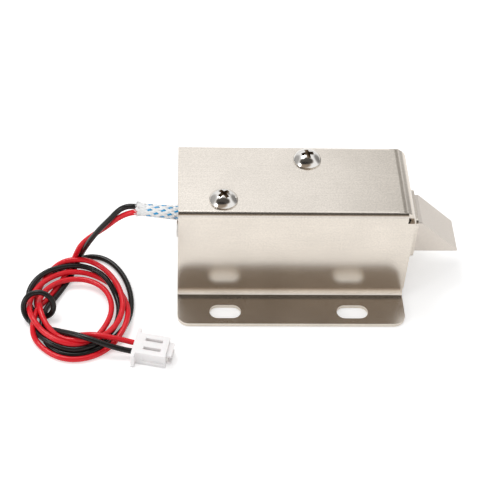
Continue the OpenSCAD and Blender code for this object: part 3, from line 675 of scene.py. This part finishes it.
def growScrews(z):
    r, top, shank, end, edge = z["headWidth"] / 2, z["headHeight"], z["shank"] / 2, -z["length"], z["rimEdge"]
    profile = [(0, end), (shank - z["tip"], end), (shank - 0.05, end + 0.3)]
    at = end + z["threadFrom"]
    while at < -z["threadTo"]:
        profile += [(shank, at), (shank - z["threadDepth"], at + z["threadPitch"] / 2)]
        at += z["threadPitch"]
    profile += [(shank, -0.1), (shank, 0), (r - edge, 0), (r, edge), (r, z["rim"])]
    crown = top - z["rim"]
    ball = (r * r + crown * crown) / (2 * crown)
    for k in range(1, z["domeRings"]):
        a = np.arcsin(r / ball) * (1 - k / z["domeRings"])
        profile.append((ball * sin(a), top - ball * (1 - cos(a))))
    profile.append((0, top))
    body, cross = latheForm("screwForm", profile, z["around"]), crossForm(z)
    (x0, y0, turn0), (x1, y1, turn1) = z["places"]
    g = Grower("coverScrews", {"Seat": z["seat"] * mm, "First X": x0 * mm, "First Y": y0 * mm,
                               "Second X": x1 * mm, "Second Y": y1 * mm,
                               "First Turn": radians(turn0), "Second Turn": radians(turn1)})
    blank, tool = (g.node("GeometryNodeObjectInfo", None, {"Object": form}, "Geometry")
                   for form in (body, cross))
    marked = g.node("GeometryNodeStoreNamedAttribute", {"data_type": "FLOAT", "domain": "FACE"},
                    {"Geometry": tool, "Name": "recess", "Value": 1.0})
    cut = g.node("GeometryNodeMeshBoolean", {"operation": "DIFFERENCE", "solver": "EXACT"},
                 {"Mesh 1": blank, "Mesh 2": marked})
    first, second = (g.vector(g.size(which + " X"), g.size(which + " Y"), g.size("Seat"))
                     for which in ("First", "Second"))
    points = g.node("GeometryNodeMeshLine", {"mode": "END_POINTS"},
                    {"Count": len(z["places"]), "Start Location": first, "Offset": second})
    index = g.node("GeometryNodeInputIndex")
    turned = g.size("First Turn") + index * (g.size("Second Turn") - g.size("First Turn"))
    laid = g.node("GeometryNodeInstanceOnPoints", None,
                  {"Points": points, "Instance": cut, "Rotation": g.vector(0, 0, turned)})
    # faces cut by the cross get the dark recess finish, which is painted shade
    inside = g.node("GeometryNodeInputNamedAttribute", {"data_type": "FLOAT"}, {"Name": "recess"}).above(0.5)
    screws = g.finish(laid, finishes["chrome"].mat, finishes["recess"].mat, inside)
    for form in (body, cross):
        bpy.data.objects.remove(form)
    return screws


def softShade(obj, angle):
    obj.data.shade_smooth()
    obj.data.set_sharp_from_angle(angle=radians(angle))


screwPiece = growScrews(screwSize)
softShade(screwPiece, 32)
standsFor(screwPiece, "cover_screws")
print("screws cut:", len(screwPiece.data.polygons), "faces")


# return spring: open turns between two closed ends, wound to the part's length; the real spring squashes as
# the bolt goes in
low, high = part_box("return_spring")
springSize = {"from": low.x / mm, "length": (high.x - low.x) / mm, "wire": 0.7, "across": 9.8, "turns": 6.5,
              "perTurn": 40, "sides": 12, "axisY": (low.y + high.y) / 2 / mm,
              "axisZ": (low.z + high.z) / 2 / mm, "stroke": 10.0}


def growSpring(z):
    g = Grower("returnSpring", {"From": z["from"] * mm, "Length": z["length"] * mm, "Wire": z["wire"] * mm,
                                "Across": z["across"] * mm, "Turns": z["turns"],
                                "Axis Height": z["axisZ"] * mm, "Axis Side": z["axisY"] * mm})
    line = g.node("GeometryNodeCurvePrimitiveLine", {"mode": "POINTS"},
                  {"Start": (0, 0, 0), "End": (0.01, 0, 0)})
    fine = g.node("GeometryNodeResampleCurve", {"mode": "COUNT"},
                  {"Curve": line, "Count": int(z["turns"] * z["perTurn"])})
    turn = g.node("GeometryNodeSplineParameter") * g.size("Turns")
    wire, openTurns = g.size("Wire"), g.size("Turns") - 2.0
    pitch = (g.size("Length") - wire * 3.0) / openTurns
    last = turn.maths("MAXIMUM", turn - g.size("Turns") + 1.0, 0.0)
    first = turn.maths("MINIMUM", turn, 1.0)
    rise = wire * first + pitch * (turn - first - last) + wire * last
    angle = turn * (2 * pi)
    reach = g.size("Across") / 2
    spot = g.vector(g.size("From") + wire / 2 + rise, g.size("Axis Side") + reach * angle.cos(),
                    g.size("Axis Height") + reach * angle.sin())
    helix = g.node("GeometryNodeSetPosition", None, {"Geometry": fine, "Position": spot})
    ring = g.node("GeometryNodeCurvePrimitiveCircle", {"mode": "RADIUS"},
                  {"Resolution": z["sides"], "Radius": wire / 2})
    wound = g.node("GeometryNodeCurveToMesh", None,
                   {"Curve": helix, "Profile Curve": ring, "Fill Caps": True})
    return g.finish(g.node("GeometryNodeSetShadeSmooth", None, {"Geometry": wound}), finishes["spring"].mat)


springPiece = growSpring(springSize)
softShade(springPiece, 50)
standsFor(springPiece, "return_spring")
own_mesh(springPiece)
print("spring wound:", len(springPiece.data.polygons), "faces")


# CAD nodes: merged copies with eased edges and smooth rounds, and each node's own finish
edgeEase = {"housing": 0.28, "yoke_frame": 0.15, "pole_plate": 0.15, "bobbin": 0.12, "fixed_core": 0.05,
            "plunger": 0.05, "stop_washer": 0.06, "latch_bolt": 0.2, "bolt_guide": 0.12,
            "connector_housing": 0.12, "bolt_pin": 0.15, "core_disc": 0.03, "guide_tube": 0.04,
            "crimp_contacts": 0.04, "coil_tape": 0.02, "coil_winding": 0.05, "solder_joints": 0.02}
easing = {"merge": 0.002, "flatWithin": 0.6, "sharpFrom": 38, "steps": 2, "evenWeight": 90}
nodeFinish = {"housing": "plate", "yoke_frame": "yoke", "pole_plate": "yoke", "bobbin": "nylon",
              "coil_winding": "copper", "coil_tape": "tape", "fixed_core": "core", "core_disc": "brass",
              "guide_tube": "brass", "plunger": "core", "return_spring": "spring", "stop_washer": "core",
              "latch_bolt": "bolt", "bolt_pin": "core", "bolt_guide": "plate", "cover_screws": "chrome",
              "solder_joints": "solder", "lead_sleeve": "braid", "connector_housing": "plug",
              "crimp_contacts": "contact", "red_lead": "redLead", "red_tail": "redLead",
              "lead_coil": "redLead", "black_lead": "blackLead", "black_tail": "blackLead"}
for name, finish in nodeFinish.items():
    nodes[name].data.materials.clear()
    nodes[name].data.materials.append(finishes[finish].mat)


footFold = {"wall": 11.5, "sheet": 1.0, "inner": 1.5, "bends": ((24, 5.0), (90, 0.15)), "softShare": 0.67,
            "onFace": 0.04, "past": 0.02}


# the press leaves a soft bend down the wall and a sharp crease where the flange starts
def creaseFoot(bm, z):
    def along(a):
        y = h = last = 0
        for upTo, r in z["bends"]:
            a1 = min(a, radians(upTo))
            y, h, last = y + r * (cos(last) - cos(a1)), h + r * (sin(a1) - sin(last)), a1
            if a <= radians(upTo):
                break
        return y, h

    drop = along(pi / 2)[1]
    for v in bm.verts:
        side = 1 if v.co.y > 0 else -1
        dy = side * v.co.y / mm - z["wall"] - z["inner"]
        dz = v.co.z / mm - z["sheet"] - z["inner"]
        far = (dy * dy + dz * dz) ** 0.5
        onInner = abs(far - z["inner"]) < z["onFace"]
        onOuter = abs(far - z["inner"] - z["sheet"]) < z["onFace"]
        if not (onInner or onOuter) or dy > z["past"] or dz > z["past"]:
            continue
        part = float(np.arctan2(max(-dz, 0), -dy)) / (pi / 2)  # most of the facets go to the soft bend
        soft, share = radians(z["bends"][0][0]), z["softShare"]
        if part < share:
            a = soft * part / share
        else:
            a = soft + (pi / 2 - soft) * (part - share) / (1 - share)
        y, h = along(a)
        if onOuter and not onInner:
            y, h = y - z["sheet"] * cos(a), h + z["sheet"] * sin(a)
        v.co.y, v.co.z = side * (z["wall"] + y) * mm, (z["sheet"] + drop - h) * mm


def easedCopy(name, z):
    bm = bmesh.new()
    bm.from_mesh(nodes[name].data)
    bmesh.ops.remove_doubles(bm, verts=bm.verts, dist=z["merge"] * mm)
    if name == "housing":
        creaseFoot(bm, footFold)
    bmesh.ops.dissolve_limit(bm, angle_limit=radians(z["flatWithin"]), use_dissolve_boundaries=False,
                             verts=bm.verts, edges=bm.edges)
    piece = newPiece("eased" + "".join(w.capitalize() for w in name.split("_")), bm, nodeFinish[name])
    piece.data.shade_smooth()
    bevel = piece.modifiers.new("ease", "BEVEL")
    bevel.width, bevel.segments = edgeEase[name] * mm, z["steps"]
    bevel.limit_method, bevel.angle_limit = "ANGLE", radians(z["sharpFrom"])
    bevel.miter_outer = "MITER_ARC"
    even = piece.modifiers.new("even", "WEIGHTED_NORMAL")
    even.weight = z["evenWeight"]
    made = asMesh(piece)
    piece.modifiers.clear()
    piece.data = made
    return piece


eased = {name: easedCopy(name, easing) for name in edgeEase}
for name, piece in eased.items():
    standsFor(piece, name)
print("edges eased:", len(eased), "nodes,", sum(len(p.data.polygons) for p in eased.values()), "faces")


# the leads ride on their bodies and stand in for their CAD nodes once their plug is there
plugShell, contacts = eased["connector_housing"], eased["crimp_contacts"]
for cord, length, mine, atEnd in (
        (redCord, redLength, ("red_lead", "red_tail", "lead_coil"), [plugShell, contacts]),
        (blackCord, blackLength, ("black_lead", "black_tail"), [plugShell])):
    standsFor(cord, *mine)
    length * mm


# stage: white table, and a studio that the plating mirrors, darker behind the camera, as the folds show it
studio = {"diffuse": 0.7, "seen": 1.02, "bright": 1.0, "horizonTop": 0.3, "horizon": 0.8, "floorHalf": 3,
          "floorAt": -0.03, "floorTone": 0.88, "floorSeen": 0.36, "floorMirrored": 0.15,
          "floorTint": (1.0, 0.9, 0.76),
          "patches": (  # way, from, full, wider sideways, level, tint
              ((-0.088, -0.695, 0.714), 0.91, 0.98, 0.42, 0.33, (1.0, 0.8, 0.62)),
              ((-0.035, -0.274, 0.961), 0.87, 0.945, 0.42, 0.08, (1.0, 0.9, 0.8)),
              ((0.35, 0.709, 0.612), 0.966, 0.992, 0.0, 0.28, (1.0, 0.96, 0.9)),
              ((0.86, 0.41, 0.3), 0.85, 0.98, 0.0, 0.25, (1.0, 0.97, 0.94)),
              ((-0.9, 0.36, 0.25), 0.8, 0.95, 0.0, 0.45, (1.0, 0.98, 0.96)))}


def rays(g):
    path = g.node("ShaderNodeLightPath", output="Is Camera Ray")
    return (path + path.other("Is Transmission Ray")).held(), path.other("Is Glossy Ray")


def makeStage(z):
    floor = Finish("floorWhite", roughness=0.65, color=(z["floorTone"],) * 3)
    plain, mirrored = rays(floor)
    floor.put("Emission Color", floor.mix(mirrored, (1, 1, 1), z["floorTint"]))
    floor.put("Emission Strength", plain * z["floorSeen"] + mirrored * z["floorMirrored"])
    bm = bmesh.new()
    level = Matrix.Translation((0, 0, z["floorAt"] * mm))
    bmesh.ops.create_grid(bm, x_segments=1, y_segments=1, size=z["floorHalf"], matrix=level)
    obj = newPiece("floor", bm)
    obj.data.materials.append(floor.mat)
    world = bpy.data.worlds.new("studio")
    bpy.context.scene.world = world
    world.use_nodes = True
    g = Graph(world.node_tree)
    back = world.node_tree.nodes["Background"]
    way = g.node("ShaderNodeTexCoord", output="Generated")
    height = g.node("ShaderNodeSeparateXYZ", None, {"Vector": way}, 2)
    across = g.node("ShaderNodeSeparateXYZ", None, {"Vector": way}, 0)
    band = 1.0 - (height / z["horizonTop"]).held()
    plain, mirrored = rays(g)
    room = z["bright"] * (1.0 - (1.0 - z["horizon"]) * band)
    tone = (1, 1, 1)
    for middle, start, full, wide, level, tint in z["patches"]:
        facing = g.node("ShaderNodeVectorMath", {"operation": "DOT_PRODUCT"}, {0: way, 1: middle}, 1)
        side = ((facing + across * across * wide - start) / (full - start)).held()
        side = side * side * (3.0 - 2.0 * side)
        room = room * (1.0 - (1.0 - level) * side)
        tone = g.node("ShaderNodeMix", {"data_type": "RGBA"}, {0: side * mirrored, 6: tone, 7: tint}, 2)
    strength = plain * z["seen"] + mirrored * room + (1.0 - plain) * (1.0 - mirrored) * z["diffuse"]
    g.give(back.inputs["Strength"], strength)
    g.give(back.inputs["Color"], tone)


# name, place, aimed at, size, power
lamps = (("softTop", (-0.25, 0.25, 0.7), (0, 0, 0), (0.34, 0.22), 1.9),
         ("softLeft", (-0.6, -0.35, 0.35), (0, 0, 0.01), (0.2, 0.2), 0.8))


def addLamp(name, place, target, size, power):
    data = bpy.data.lights.new(name, "AREA")
    data.shape, data.size, data.size_y = "RECTANGLE", *size
    data.energy = power
    obj = bpy.data.objects.new(name, data)
    bpy.context.scene.collection.objects.link(obj)
    obj.location = place
    obj.rotation_euler = (Vector(target) - Vector(place)).to_track_quat("-Z", "Y").to_euler()


makeStage(studio)
for lamp in lamps:
    addLamp(*lamp)
bpy.context.scene.view_settings.view_transform = "Standard"

print("scene ready")
